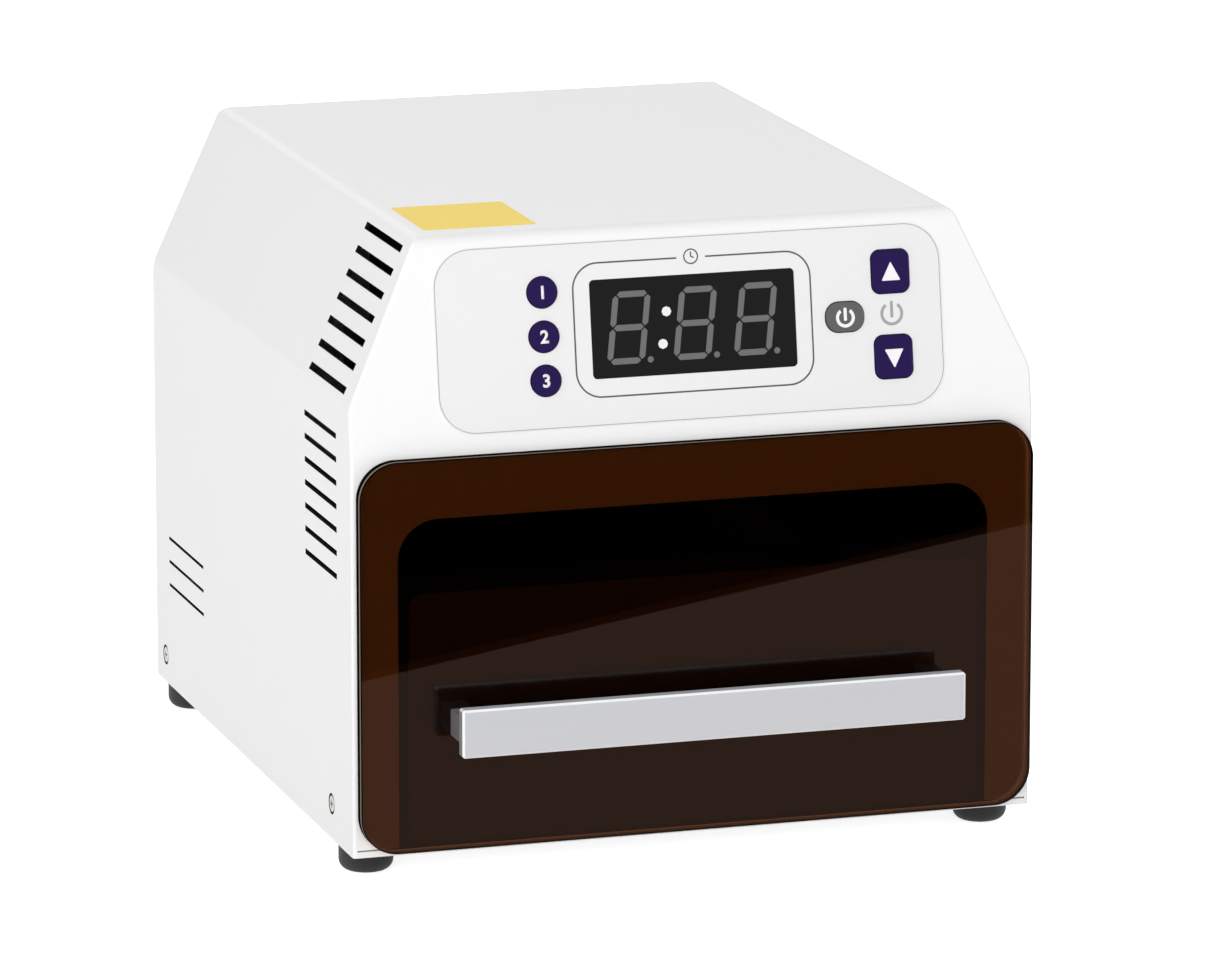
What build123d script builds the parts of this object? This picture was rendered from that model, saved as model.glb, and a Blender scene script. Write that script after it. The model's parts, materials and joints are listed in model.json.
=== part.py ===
from build123d import *
import os
from math import atan2, cos, degrees, radians, sin

# Dental lab light curing unit: a white sheet-metal housing with a leaning control panel, and a
# pull-out curing drawer behind a brown acrylic front. Millimetres, +Z up, the front faces -Y.
# The origin is on the table, at the middle of the whole unit's footprint.
# Heights marked "from the tray" are measured from the underside of the base tray.

os.makedirs("parts", exist_ok=True)

# ---------------------------------------------------------------- driving dimensions

# Housing, from the front: upright sides, a bend, sloping shoulders and a narrower flat top.
housing_width = 240.0
housing_depth = 266.0
housing_height = 208.0  # from the tray
shoulder_height = 152.7  # where the upright sides lean in
top_width = 188.8
panel_height = 136.9  # where the front leans back into the control panel
panel_setback = 11.4  # how far back the panel's top edge lies
sheet = 1.5
side_bend_radius = 13.0
top_bend_radius = 5.5
panel_bend_radius = 12.0
corner_radius = 1.2
foot_height = 9.5

# Air slots: overall length, width, rows, lowest row, pitch, and the middle's distance from the front.
side_slots = (40.0, 2.0, 7, 92.8, 8.02, 38.0)
rear_side_slots = (49.0, 1.2, 3, 37.8, 8.65, 222.0)
shoulder_slots = (44.0, 2.6, 7, 4.9, 8.4, 34.8)
shoulder_slot_drift = 0.107  # each upper slot follows the leaning front

# Opening in the front, and the acrylic front that covers it.
opening_width = 208.0
opening_height = 114.7
opening_radius = 14.0
sill_height = 2.6  # lower edge of the front, from the tray
acrylic_width = 237.0
acrylic_bottom = 1.8
acrylic_top = 135.9
acrylic_radius = 13.0
acrylic_thickness = 5.0
acrylic_gap = 0.5

# Base tray and feet.
tray_flange = 18.0
tray_gap = 0.2
lip_setback = 0.4
lip_height = 2.4
foot_radius = 9.3
foot_inset = 10.2  # centre from the side
foot_front = 21.0
foot_rear = 13.0

# Handle.
bar_length = 177.0
bar_height = 16.5
bar_thickness = 5.0
bar_bevel = 0.7
bar_middle = 46.1
leg_length = 13.0
leg_width = 8.0
leg_height = 9.0
leg_inset = 1.0
handle_reach = acrylic_gap + acrylic_thickness + leg_length + bar_thickness

# Rear panel and its fittings; places are (across, from the tray).
panel_recess = 2.0
rear_clearance = 0.25
rear_vents = (45.0, 2.5, 11, 24.0, 7.0, 52.0)  # length, width, count, first, pitch, middle height
fan_size = 80.0
fan_depth = 25.0
fan_wall = 1.5
fan_height = 158.0
fan_hole_spacing = 71.5
fan_hub_radius = 15.5
fan_shaft_radius = 1.5
blade_count = 7
blade_radii = (14.8, 36.4)
blade_chords = (15.0, 22.0)
blade_thickness = 1.2
blade_pitch = 38.0
blade_start = 25.0  # the first blade's turn from level
guard_rise = 5.5  # how far the guard stands out of the rear panel
guard_wire = 0.8
guard_rings = (10.0, 19.0, 28.0, 37.0)
guard_sides = 32  # flats that make up each ring
guard_slope = 0.045
guard_lap = 0.7
guard_lug = (7.0, 1.6)  # side and thickness
inlet_place = (-80.0, 32.0)
inlet_flange = (49.0, 22.5, 2.5, 5.0)  # width, height, thickness, corner radius
inlet_body = (27.2, 20.2, 17.0)
inlet_socket = (12.2, 8.2, 4.6, 13.5)  # half width, half height, cut corner, depth
inlet_pin = (2.0, 12.0, 4.0)
inlet_pin_places = ((-7.0, -2.0), (0.0, 2.0), (7.0, -2.0))
rocker_place = (-38.0, 32.0)
switch_body = (14.8, 21.0, 14.0)
switch_bezel = (18.0, 24.5, 1.8)
rocker_radius = 9.0
rocker_width = 10.8
rocker_pivot = 2.4  # inside the rear panel's face
rocker_tilt = 10.0
cutout_clearance = 0.2

# Control panel: places are (across, up the panel from its lower bend).
overlay_size = (178.0, 61.8)
overlay_middle = 36.4
overlay_thickness = 0.4
overlay_radius = 13.0
display_size = (72.0, 33.2)
display_middle = (0.95, 37.8)
display_corner = 1.6
film_lap = 0.3  # how far the overlay laps the modules
digit_places = ((-22.65, 0.0), (0.65, 0.2), (21.9, 0.3))  # from the middle of the display
digit_count = len(digit_places)
digit_face = -0.05  # the modules' faces, out of the panel
digit_size = (11.2, 22.3)
digit_lean = 8.0
bar_width = 2.05
bar_rise = 0.15
point_place = (7.1, -11.1)  # from the middle of the digit
point_radius = 1.1
colon_places = ((-9.3, 4.6), (-11.0, -6.2))  # from the middle of the display
colon_radius = 1.7
round_key_radius = 5.15
round_key_column = -51.5
round_key_rows = (51.3, 36.5, 21.8)
arrow_key_size = (13.2, 14.5)
arrow_key_column = 71.0
arrow_key_rows = (51.2, 22.4)
arrow_key_corner = 2.9
power_key_size = (13.4, 10.0)
power_key_place = (54.2, 36.8)
power_key_corner = 4.5
key_rise = 0.9  # above the overlay
key_clearance = 0.35
key_lug = (1.0, 1.0)  # reach and thickness of the two retaining lugs
key_lug_gap = 0.4
board_depth = 9.5  # from the panel's face to the circuit board
board_size = (172.0, 56.0, 1.6)
board_middle = (1.0, 35.0)
board_post_places = ((-80.0, 12.0), (82.5, 12.0), (-80.0, 60.0), (82.5, 60.0))
post_radius = 3.2
key_switch = (6.2, 3.5)  # side and height
switch_plunger = (3.0, 1.9)

# Drawer and its telescopic slides.
drawer_front_width = 201.0
drawer_front_height = 89.5
drawer_front_radius = 5.0
drawer_bottom = 4.0
drawer_width = 189.0
drawer_depth = 207.0
drawer_wall_height = 40.0
drawer_sheet = 1.2
drawer_bend = 2.2
reflector_thickness = 0.5
reflector_gap = 1.2
slide_height = 27.0
slide_length = 196.0
slide_start = 5.0
slide_sheet = 1.2
slide_half_heights = (9.5, 12.2, 14.9)
slide_depth = 6.0
slide_gap = 1.3

# Curing chamber round the drawer, its lamps and the parts that feed them.
chamber_width = 214.4
chamber_ceiling = 118.0
chamber_back = 212.0
chamber_sheet = 1.2
chamber_tab = (7.5, 14.0)  # reach and length
chamber_tab_rows = (60.0, 180.0)
window_size = (150.0, 118.0)
window_middle = 112.0
window_lap = 8.0
window_thickness = 2.0
lamp_board_lap = 4.0
lamp_size = (5.0, 1.1)  # side and height
lamp_grid = (7, 5)
lamp_pitch = (21.0, 23.0)
sink_plate = 4.0
sink_height = 26.0
fin_count = 13
fin_thickness = 1.8
driver_size = (110.0, 32.0, 1.6)
driver_middle = 33.0
driver_posts = (98.0, 22.0, 6.0)
coil_size = (16.0, 16.0, 10.0)
coil_places = (-24.0, 22.0)
supply_size = (106.0, 36.0, 98.0)
supply_left = 2.0
supply_gap = 6.0
supply_step = (12.0, 14.0)
sensor_place = (60.0, 35.5)
sensor_size = (16.0, 3.2, 11.0)
magnet_size = (14.0, 1.6, 11.0)

# ---------------------------------------------------------------- places worked out from them

front = handle_reach - (handle_reach + housing_depth + guard_rise - panel_recess) / 2
back = front + housing_depth
base = foot_height
top = base + housing_height
half_width = housing_width / 2
half_top = top_width / 2
shoulder_z = base + shoulder_height
panel_z = base + panel_height
rear_face = back - panel_recess
fan_back = rear_face - sheet
fan_front = fan_back - fan_depth
fan_z = base + fan_height
drawer_face = front - acrylic_gap  # back of the acrylic, front of the folded tray
leg_face = drawer_face - acrylic_thickness
bar_face = leg_face - leg_length
bar_z = base + bar_middle
handle_column = bar_length / 2 - leg_inset - leg_width / 2
window_y = front + window_middle
ceiling_top = base + chamber_ceiling + chamber_sheet
module_width = (display_size[0] + 2 * film_lap) / digit_count
module_height = display_size[1] + 2 * film_lap
key_bottom = -sheet - key_lug_gap - key_lug[1]

lean = degrees(atan2(panel_setback, housing_height - panel_height))
panel = Plane(
    origin=(0, front, panel_z),
    x_dir=(1, 0, 0),
    z_dir=(0, -cos(radians(lean)), sin(radians(lean))),
)
shoulder_tilt = atan2(housing_height - shoulder_height, half_width - half_top)
shoulder = Plane(
    origin=(half_width, 0, shoulder_z),
    x_dir=(0, 1, 0),
    z_dir=(sin(shoulder_tilt), 0, cos(shoulder_tilt)),
)
right_side = Plane(origin=(half_width, 0, base), x_dir=(0, 1, 0), z_dir=(1, 0, 0))

# Looking at the rear panel from behind: local x to the left of the unit, y up, z outwards.
rear = Plane(origin=(0, rear_face, base), x_dir=(-1, 0, 0), z_dir=(0, 1, 0))


# ---------------------------------------------------------------- small helpers


def block(x, y, z):
    """A plain block from three (low, high) pairs."""
    size = [high - low for low, high in (x, y, z)]
    middle = [(high + low) / 2 for low, high in (x, y, z)]
    return Pos(*middle) * Box(*size)


def rod(x, z, y, radius):
    """A round bar along Y, between the two values of y."""
    low, high = min(y), max(y)
    return Pos(x, (low + high) / 2, z) * Rot(90, 0, 0) * Cylinder(radius, high - low)


def standing(face, low, high):
    """A face extruded from one height to another."""
    return Pos(0, 0, low) * extrude(face, high - low)


def both_sides(shape):
    """A right-hand shape and its mirror image on the left."""
    return [shape, mirror(shape, about=Plane.YZ)]


def upright_plate(width, low, high, radius, y, thickness):
    """A rounded plate facing the front, its front face at y."""
    face = RectangleRounded(width, high - low, radius)
    return Pos(0, y + thickness, (low + high) / 2) * Rot(90, 0, 0) * extrude(face, thickness)


def on_rear(place):
    """A place on the rear panel, seen in its own plane."""
    across, up = place
    return rear * Pos(-across, up, 0)


# ---------------------------------------------------------------- housing


def sharp_housing(inset, low, end):
    """The housing's form before its bends are rounded, drawn in by `inset` on all sides."""
    across = Polyline(
        (-half_width, 0),
        (-half_width, shoulder_z),
        (-half_top, top),
        (half_top, top),
        (half_width, shoulder_z),
        (half_width, 0),
        close=True,
    )
    along = Polyline(
        (front, -10),
        (front, panel_z),
        (front + panel_setback, top),
        (back + 10, top),
        (back + 10, -10),
        close=True,
    )
    faces = [make_face(outline.edges()) for outline in (across, along)]
    if inset:
        faces = [offset(face, -inset, kind=Kind.INTERSECTION) for face in faces]
    form = extrude(Plane.XZ * faces[0], housing_depth, both=True)
    form &= extrude(Plane.YZ * faces[1], housing_width, both=True)
    return form & block((-housing_width, housing_width), (front - 30, end), (low, top + 30))


def housing_block(inset, low, end):
    """The housing's form with its sheet bends rounded."""
    form = sharp_housing(inset, low, end)
    edges = form.edges().filter_by(Axis.Y)
    shoulders = [edge for edge in edges if abs(edge.center().Z - shoulder_z) < 3]
    form = fillet(shoulders, side_bend_radius - inset)
    edges = form.edges().filter_by(Axis.X)
    chin = [edge for edge in edges if abs(edge.center().Z - panel_z) < 3]
    form = fillet(chin, panel_bend_radius - inset)
    roof = top - inset
    rim = [
        edge
        for edge in form.edges()
        if abs((edge @ 0).Z - roof) < 0.01
        and abs((edge @ 1).Z - roof) < 0.01
        and edge.center().Y < end - 0.1
    ]
    return fillet(rim, top_bend_radius - inset)


def round_front_edges(form):
    """Round the edges where the front and the panel meet the sides and shoulders."""
    reach = front + panel_setback + top_bend_radius
    edges = [
        edge
        for edge in form.edges()
        if abs((edge @ 0.5).X) > half_top - side_bend_radius
        and (edge @ 0).Y < reach
        and (edge @ 1).Y < reach
        and abs((edge @ 0).Z - (edge @ 1).Z) > 1.0
    ]
    return fillet(edges, corner_radius)


def slot_row(plane, slots, drift=0.0):
    """One column of air slots, as cutting bodies on a side or shoulder."""
    length, width, rows, lowest, pitch, middle = slots
    cutter = Box(length, width, 4 * sheet)
    heights = [lowest + pitch * row for row in range(rows)]
    return [plane * Pos(front + middle + drift * height, height, 0) * cutter for height in heights]


def air_slots():
    """All slots of the right-hand side and shoulder."""
    slots = slot_row(right_side, side_slots)
    slots += slot_row(right_side, rear_side_slots)
    return slots + slot_row(shoulder, shoulder_slots, shoulder_slot_drift)


def key_outline(number, clearance):
    """Outline of a key: three round ones, two arrow keys and the oval power key."""
    if number < len(round_key_rows):
        return Circle(round_key_radius + clearance)
    size, corner = (arrow_key_size, arrow_key_corner)
    if number == len(key_places()) - 1:
        size, corner = (power_key_size, power_key_corner)
    width, height = [side + 2 * clearance for side in size]
    return RectangleRounded(width, height, corner + clearance)


def key_places():
    """Centres of the keys on the panel, in the order of their numbers."""
    places = [(round_key_column, row) for row in round_key_rows]
    places += [(arrow_key_column, row) for row in arrow_key_rows]
    return places + [power_key_place]


def panel_holes():
    """Punched holes for the display and keys; the overlay hides their square corners."""
    depth = 4 * sheet
    width, height = module_width * digit_count, module_height
    gap = 2 * cutout_clearance
    holes = [Pos(*display_middle, 0) * Box(width + gap, height + gap, depth)]
    for number, place in enumerate(key_places()):
        bounds = key_outline(number, key_clearance).bounding_box().size
        holes.append(Pos(*place, 0) * Box(bounds.X, bounds.Y, depth))
    return [panel * hole for hole in holes]


def outer_cover():
    """Folded and welded cover: sides, shoulders, top and front in one painted shell."""
    shell = round_front_edges(housing_block(0, base, back))
    shell -= housing_block(sheet, base - 1, back + 1)
    mouth_top = base + opening_height
    shell -= upright_plate(opening_width, base - 30, mouth_top, opening_radius, front - 1, 4)
    inner = half_width - sheet
    shell -= block((-inner, inner), (front - 1, front + sheet), (base - 1, base + sill_height))
    for cutter in air_slots():
        shell -= both_sides(cutter)
    return shell - panel_holes()


def base_tray():
    """Pan under the unit: floor, side and rear flanges, and the low lip under the front."""
    reach = half_width - sheet - tray_gap
    lip_y = front + lip_setback
    pan = block((-reach, reach), (lip_y, fan_back), (base, base + tray_flange))
    pan -= block(
        (-reach + sheet, reach - sheet),
        (lip_y + sheet, fan_back - sheet),
        (base + sheet, top),
    )
    return pan - block((-reach - 1, reach + 1), (front - 1, front + 4), (base + lip_height, top))


def foot_places():
    """Centres of the four feet."""
    x = half_width - foot_inset
    return [(side * x, y) for y in (front + foot_front, back - foot_rear) for side in (-1, 1)]


def rubber_foot(x, y):
    """Round rubber foot."""
    return Pos(x, y, foot_height / 2) * Cylinder(foot_radius, foot_height)


# ---------------------------------------------------------------- rear


def rear_panel():
    """Rear plate with the cut-outs for the fan, inlet and switch, and its vents."""
    plate = housing_block(sheet + rear_clearance, base + sheet, back + 20)
    plate &= block((-housing_width, housing_width), (fan_back, rear_face), (0, top))
    plate -= rod(0, fan_z, (fan_back - 1, rear_face + 1), fan_size / 2 - fan_wall)
    for place, fitting in ((inlet_place, inlet_body), (rocker_place, switch_body)):
        width, height = [side + 2 * cutout_clearance for side in fitting[:2]]
        plate -= on_rear(place) * Box(width, height, 4 * sheet)
    length, width, count, first, pitch, middle = rear_vents
    for column in range(count):
        plate -= on_rear((first + pitch * column, middle)) * Box(width, length, 4 * sheet)
    return plate


def fan_frame():
    """Square fan housing: bore, motor seat on four struts, and the shaft."""
    frame = Pos(0, (fan_front + fan_back) / 2, fan_z) * Box(fan_size, fan_depth, fan_size)
    frame -= rod(0, fan_z, (fan_front - 1, fan_back + 1), fan_size / 2 - fan_wall)
    seat = rod(0, fan_z, (fan_back - 3, fan_back), fan_hub_radius + 0.5)
    strut_length = fan_size / 2 - fan_hub_radius
    strut = Pos(fan_size / 2 - strut_length / 2, fan_back - 1.5, 0) * Box(strut_length, 3, 3)
    for turn in range(4):
        seat += Pos(0, 0, fan_z) * Rot(0, 45 + 90 * turn, 0) * strut
    seat += rod(0, fan_z, (fan_back - 12, fan_back - 3), fan_shaft_radius)
    return frame + seat


def fan_rotor():
    """Hub with pitched blades that widen outwards, bored for the frame's shaft."""
    hub_front = fan_front + 1.5
    hub_back = fan_back - 4
    rotor = rod(0, fan_z, (hub_front, hub_back), fan_hub_radius)
    root, tip = blade_radii
    outline = [(root, -blade_chords[0] / 2), (tip, -blade_chords[1] / 2)]
    outline += [(x, -y) for x, y in reversed(outline)]
    blade = extrude(make_face(Polyline(*outline, close=True).edges()), blade_thickness / 2, both=True)
    middle = Pos(0, (hub_front + hub_back) / 2, fan_z)
    for turn in range(blade_count):
        spread = Rot(0, blade_start + turn * 360 / blade_count, 0)
        rotor += middle * spread * Rot(90 - blade_pitch, 0, 0) * blade
    return rotor - rod(0, fan_z, (fan_back - 14, hub_back + 1), fan_shaft_radius + 0.3)


def fan_guard():
    """Wire guard: rings that rise towards the middle, on four arms that end in flat lugs."""
    lug_side, lug_thickness = guard_lug
    eye = fan_hole_spacing / 2 * 2**0.5
    crown = guard_rise - guard_wire
    heights = [crown - guard_slope * (radius - guard_rings[0]) for radius in guard_rings]
    rings = []
    for radius, height in zip(guard_rings, heights):
        disc = RegularPolygon(radius + guard_wire, guard_sides)
        ring = disc - RegularPolygon(radius - guard_wire, guard_sides)
        rings.append(standing(ring, height - guard_wire, height + guard_wire))
    arm = Polyline(
        (guard_rings[0] - 2, heights[0] - guard_lap),
        (guard_rings[-1] + 1, heights[-1] - guard_lap),
        (eye - lug_side / 2, lug_thickness / 2),
        (eye, lug_thickness / 2),
    )
    strip = make_face(offset(arm, guard_wire / 2, kind=Kind.INTERSECTION).edges())
    spoke = extrude(Plane.XZ * strip, guard_wire, both=True)
    spoke += Pos(eye, 0, lug_thickness / 2) * Box(lug_side, lug_side, lug_thickness)
    spokes = [Rot(0, 0, 45 + 90 * turn) * spoke for turn in range(4)]
    return on_rear((0, fan_height)) * (rings[0] + rings[1:] + spokes)


def mains_inlet():
    """Three-pin appliance inlet: flange, recessed socket with two cut corners, body behind."""
    width, height, thickness, corner = inlet_flange
    body_width, body_height, depth = inlet_body
    inlet = extrude(RectangleRounded(width, height, corner), thickness)
    inlet += Pos(0, 0, -depth / 2) * Box(body_width, body_height, depth)
    half, rise, cut, socket_depth = inlet_socket
    outline = Polyline(
        (-half, -rise),
        (half, -rise),
        (half, rise - cut),
        (half - cut, rise),
        (cut - half, rise),
        (-half, rise - cut),
        close=True,
    )
    inlet -= standing(make_face(outline.edges()), -socket_depth, thickness + 1)
    return on_rear(inlet_place) * inlet


def inlet_pins():
    """The inlet's three flat pins, standing in its socket."""
    across, length, height = inlet_pin
    pin = Pos(0, 0, length / 2 - inlet_socket[3]) * Box(across, height, length)
    return [on_rear(inlet_place) * Pos(x, y, 0) * pin for x, y in inlet_pin_places]


def switch_housing():
    """Body and bezel of the mains switch, with the hollow that the rocker swings in."""
    width, height, depth = switch_body
    bezel_width, bezel_height, rise = switch_bezel
    body = Pos(0, 0, -depth / 2) * Box(width, height, depth)
    body += Pos(0, 0, rise / 2) * Box(bezel_width, bezel_height, rise)
    radius = rocker_radius + 0.4
    span = rocker_width + 0.8
    body -= Pos(0, 0, -rocker_pivot) * Rot(0, 90, 0) * Cylinder(radius, span)
    body -= Box(span, 2 * radius, 2 * rocker_pivot)
    return on_rear(rocker_place) * body


def rocker():
    """Rocker with a shallow V face, resting with its lower end pressed in."""
    face = Polyline((-10, 5.2), (0, 3.4), (10, 5.2), (10, -4), (-10, -4), close=True)
    section = Circle(rocker_radius) & make_face(face.edges())
    key = extrude(Plane.YZ * section, rocker_width / 2, both=True)
    return on_rear(rocker_place) * Pos(0, 0, -rocker_pivot) * Rot(rocker_tilt, 0, 0) * key


# ---------------------------------------------------------------- control panel


def control_overlay():
    """Thin printed sheet on the panel, with holes for the display and keys."""
    face = Pos(0, overlay_middle) * RectangleRounded(*overlay_size, overlay_radius)
    face -= Pos(*display_middle) * RectangleRounded(*display_size, display_corner)
    for number, place in enumerate(key_places()):
        face -= Pos(*place) * key_outline(number, key_clearance)
    return panel * extrude(face, overlay_thickness)


def on_display(across, up=0.0):
    """A place on the modules' faces, from the middle of the display."""
    return panel * Pos(display_middle[0] + across, display_middle[1] + up, digit_face)


def digit_module(number):
    """Moulded seven-segment module, standing on the circuit board."""
    depth = board_depth + digit_face
    module = standing(Rectangle(module_width, module_height), -depth, 0)
    return on_display((number - (digit_count - 1) / 2) * module_width) * module


def segment_outlines():
    """The seven bars of a digit: pointed hexagons sheared to the digit's lean."""
    width, height = digit_size
    half = height / 2
    bars = [((0, row * half), width, False) for row in (1, 0, -1)]
    bars += [((x * width / 2, y * half / 2), half, True) for x in (-1, 1) for y in (-1, 1)]
    shear = sin(radians(digit_lean))
    outlines = []
    for (x, y), length, upright in bars:
        reach, rise = length / 2 - 0.35, bar_width / 2
        points = [(-reach, 0), (rise - reach, rise), (reach - rise, rise)]
        points += [(-a, -b) for a, b in points]
        if upright:
            points = [(-b, a) for a, b in points]
        outlines.append([(x + a + shear * (y + b), y + b) for a, b in points])
    return outlines


def digit_segments():
    """The light bars and decimal points of all digits, on the modules' faces."""
    bars = [make_face(Polyline(*points, close=True).edges()) for points in segment_outlines()]
    bars.append(Pos(*point_place) * RegularPolygon(point_radius, 8))
    solids = []
    for place in digit_places:
        solids += [on_display(*place) * extrude(bar, bar_rise) for bar in bars]
    return solids


def colon_dots():
    """The two points between the first and second digit."""
    dot = extrude(RegularPolygon(colon_radius, 8), bar_rise)
    return [on_display(*place) * dot for place in colon_places]


def key(number):
    """One key: cap with two retaining lugs behind the sheet."""
    outline = key_outline(number, 0.0)
    cap = standing(outline, key_bottom, overlay_thickness + key_rise)
    bounds = outline.bounding_box().size
    reach, thickness = key_lug
    lugs = Box(bounds.X / 2, bounds.Y + 2 * key_clearance + 2 * reach, thickness)
    return panel * Pos(*key_places()[number], 0) * (cap + Pos(0, 0, key_bottom + thickness / 2) * lugs)


def control_board():
    """Circuit board behind the panel."""
    return panel * Pos(*board_middle, -board_depth - board_size[2] / 2) * Box(*board_size)


def board_posts():
    """Hexagonal posts on the back of the panel that carry the board."""
    post = standing(RegularPolygon(post_radius, 6), -board_depth, -sheet)
    return [panel * Pos(*place, 0) * post for place in board_post_places]


def key_switches():
    """Push switches on the board, one under each key."""
    side, height = key_switch
    plunger, rise = switch_plunger
    switch = standing(Rectangle(side, side), 0, height)
    switch += standing(Rectangle(plunger, plunger), height, height + rise)
    return [panel * Pos(*place, -board_depth) * switch for place in key_places()]


# ---------------------------------------------------------------- drawer


def drawer_panel():
    """Brown acrylic front with rounded corners."""
    low, high = base + acrylic_bottom, base + acrylic_top
    return upright_plate(acrylic_width, low, high, acrylic_radius, leg_face, acrylic_thickness)


def drawer_tray():
    """Folded tray: tall front plate behind the acrylic, low walls, open above."""
    y_back = drawer_face + drawer_depth
    low = base + drawer_bottom
    half = drawer_width / 2
    pan = block((-half, half), (drawer_face, y_back), (low, low + drawer_wall_height))
    pan = fillet(pan.edges().group_by(Axis.Z)[0].filter_by(Axis.Y), drawer_bend)
    hollow = block(
        (-half + drawer_sheet, half - drawer_sheet),
        (drawer_face + drawer_sheet, y_back - drawer_sheet),
        (low + drawer_sheet, low + 2 * drawer_wall_height),
    )
    floor_edges = hollow.edges().group_by(Axis.Z)[0].filter_by(Axis.Y)
    hollow = fillet(floor_edges, drawer_bend - drawer_sheet)
    high = base + drawer_front_height
    plate = upright_plate(
        drawer_front_width, low, high, drawer_front_radius, drawer_face, drawer_sheet
    )
    return pan - hollow + plate


def tray_reflector():
    """Polished sheet on the drawer's floor."""
    half = drawer_width / 2 - drawer_sheet - reflector_gap
    low = base + drawer_bottom + drawer_sheet
    y = drawer_face + drawer_sheet + reflector_gap
    y_back = drawer_face + drawer_depth - drawer_sheet - reflector_gap
    return block((-half, half), (y, y_back), (low, low + reflector_thickness))


def handle_bar():
    """Flat aluminium bar with broken edges."""
    half, rise = bar_length / 2, bar_height / 2
    bar = block((-half, half), (bar_face - bar_thickness, bar_face), (bar_z - rise, bar_z + rise))
    return chamfer(bar.edges(), bar_bevel)


def handle_leg(side):
    """Spacer block between the acrylic and the bar."""
    x = side * handle_column
    half, rise = leg_width / 2, leg_height / 2
    leg = block((x - half, x + half), (bar_face, leg_face), (bar_z - rise, bar_z + rise))
    return chamfer(leg.edges().filter_by(Axis.Y), bar_bevel)


def channel(web, lips, half_height):
    """A right-hand C channel along Y: where its web and its lips' ends lie across the unit."""
    low, high = min(web, lips), max(web, lips)
    y = (front + slide_start, front + slide_start + slide_length)
    z = base + slide_height
    body = block((low, high), y, (z - half_height, z + half_height))
    inner = (low + slide_sheet, high + 1) if web < lips else (low - 1, high - slide_sheet)
    clear = half_height - slide_sheet
    return body - block(inner, (y[0] - 1, y[1] + 1), (z - clear, z + clear))


def slide_members():
    """The three members of the right-hand telescopic slide, from the drawer outwards."""
    drawer_side, chamber_side = drawer_width / 2, chamber_width / 2
    middle_web = drawer_side + slide_depth + slide_gap + slide_sheet
    inner, middle, outer = slide_half_heights
    return {
        "rail": channel(drawer_side, drawer_side + slide_depth, inner),
        "middle": channel(middle_web, drawer_side + 2.0, middle),
        "runner": channel(chamber_side, drawer_side + 3.5, outer),
    }


# ---------------------------------------------------------------- curing chamber


def chamber_liner():
    """Folded reflector box over the drawer: sides, ceiling with the lamp window, and back."""
    half = chamber_width / 2
    outside = half + chamber_sheet
    y_front, y_back = front + lip_setback + sheet, front + chamber_back
    low = base + sheet
    ceiling = base + chamber_ceiling
    liner = block((-outside, outside), (y_front, y_back + chamber_sheet), (low, ceiling_top))
    liner -= block((-half, half), (y_front - 1, y_back), (low - 1, ceiling))
    liner -= Pos(0, window_y, ceiling) * Box(*window_size, 4 * chamber_sheet)
    reach, length = chamber_tab
    for row in chamber_tab_rows:
        y = (front + row - length / 2, front + row + length / 2)
        liner += both_sides(block((outside - 0.1, outside + reach), y, (low, low + chamber_sheet)))
    return liner


def lamp_window():
    """Clear plate under the lamps, against the chamber's ceiling."""
    across, along = [side + 2 * window_lap for side in window_size]
    z = base + chamber_ceiling - window_thickness / 2
    return Pos(0, window_y, z) * Box(across, along, window_thickness)


def lamp_board():
    """Circuit board over the ceiling's window that carries the lamps."""
    across, along = [side + 2 * lamp_board_lap for side in window_size]
    thickness = board_size[2]
    return Pos(0, window_y, ceiling_top + thickness / 2) * Box(across, along, thickness)


def lamps():
    """Rows of square light-emitting packages on the underside of their board."""
    side, height = lamp_size
    lamp = Pos(0, window_y, ceiling_top - height / 2) * Box(side, side, height)
    return GridLocations(*lamp_pitch, *lamp_grid) * lamp


def heat_sink():
    """Finned aluminium block that cools the lamp board."""
    across, along = window_size
    profile = Pos(0, sink_plate / 2) * Rectangle(across, sink_plate)
    pitch = (across - fin_thickness) / (fin_count - 1)
    fins = GridLocations(pitch, 0, fin_count, 1) * Rectangle(fin_thickness, sink_height)
    profile += [Pos(0, sink_height / 2) * fin for fin in fins]
    body = extrude(Plane.XZ * profile, along / 2, both=True)
    return Pos(0, window_y, ceiling_top + board_size[2]) * body


# ---------------------------------------------------------------- power and sensing


def driver_board():
    """Lamp driver board on the chamber's ceiling, in front of the heat sink."""
    across, along, rise = driver_posts
    board = standing(Rectangle(*driver_size[:2]), rise, rise + driver_size[2])
    face = rise + driver_size[2]
    for corner in GridLocations(across, along, 2, 2):
        board += corner * standing(RegularPolygon(post_radius, 6), 0, rise)
    for x in coil_places:
        board += Pos(x, 0, face + coil_size[2] / 2) * Box(*coil_size)
    return Pos(0, front + driver_middle, ceiling_top) * board


def power_supply():
    """Enclosed power supply on the tray behind the chamber, with a terminal step."""
    width, depth, height = supply_size
    x = (supply_left, supply_left + width)
    y = (front + chamber_back + supply_gap, front + chamber_back + supply_gap + depth)
    z = (base + sheet, base + sheet + height)
    case = block(x, y, z)
    step_depth, step_height = supply_step
    step = block((x[0] - 1, x[1] + 1), (y[1] - step_depth, y[1] + 1), (z[1] - step_height, z[1] + 1))
    return case - step


def drawer_sensor():
    """Magnetic sensor on the chamber's back wall that stops the lamps when the drawer opens."""
    x, z = sensor_place
    return Pos(x, front + chamber_back - sensor_size[1] / 2, base + z) * Box(*sensor_size)


def sensor_magnet():
    """Magnet on the outside of the drawer's rear wall, opposite the sensor."""
    x, z = sensor_place
    return Pos(x, drawer_face + drawer_depth + magnet_size[1] / 2, base + z) * Box(*magnet_size)


# ---------------------------------------------------------------- write each sub-part


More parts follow.
